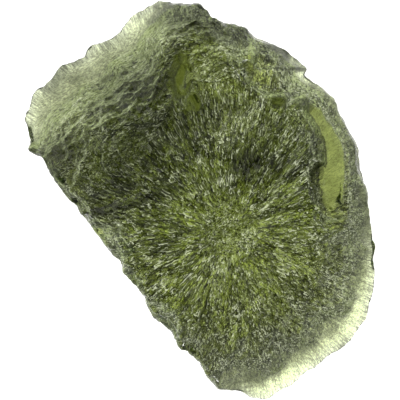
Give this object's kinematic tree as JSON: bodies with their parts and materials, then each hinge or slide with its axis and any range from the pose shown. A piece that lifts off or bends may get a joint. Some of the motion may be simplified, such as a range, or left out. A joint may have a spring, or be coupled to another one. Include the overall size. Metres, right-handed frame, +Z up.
{
  "type": "moldavite",
  "caption": "Flat etched slab of clear green natural glass, thin and pale along its broken edges, that lies on a small flat spot as a loose specimen.",
  "frame": {"origin": "the middle of the stone's bounding box, at the level of the surface it lies on", "axes": "+Z up through the stone's thickness, +Y along its length towards the rounded end with the thin pale lobe, +X to the right seen from above, away from the long straight broken edge"},
  "size_m": [0.035, 0.0398, 0.0104],
  "materials": {
    "moldavite_glass": "clear olive green glass, etched to a fine pitted and grooved surface with a satin sheen"
  },
  "bodies": {
    "root": {"moldavite": "moldavite_glass"}
  },
  "joints": []
}
